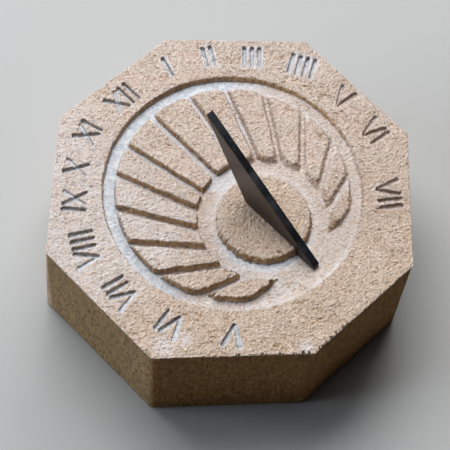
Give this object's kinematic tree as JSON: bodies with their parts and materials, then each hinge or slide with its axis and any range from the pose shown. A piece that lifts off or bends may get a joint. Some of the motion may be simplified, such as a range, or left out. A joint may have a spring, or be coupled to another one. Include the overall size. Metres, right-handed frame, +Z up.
{
  "type": "garden sundial",
  "caption": "Eight-sided stone block with a carved hour dial and a sloping metal gnomon plate that casts a shadow to tell the time.",
  "frame": {"origin": "middle of the flat underside, where the middle is the point that the dial's octagon is set out from", "axes": "+Z up, +Y north along the noon line, +X east"},
  "size_m": [0.2021, 0.2021, 0.132],
  "materials": {
    "sandstone": "matte",
    "dark_bronze": "satin",
    "setting_resin": "matte"
  },
  "bodies": {
    "root": {"dial_block": "sandstone", "gnomon": "dark_bronze", "north_tang_resin": "setting_resin", "south_tang_resin": "setting_resin"}
  },
  "joints": []
}
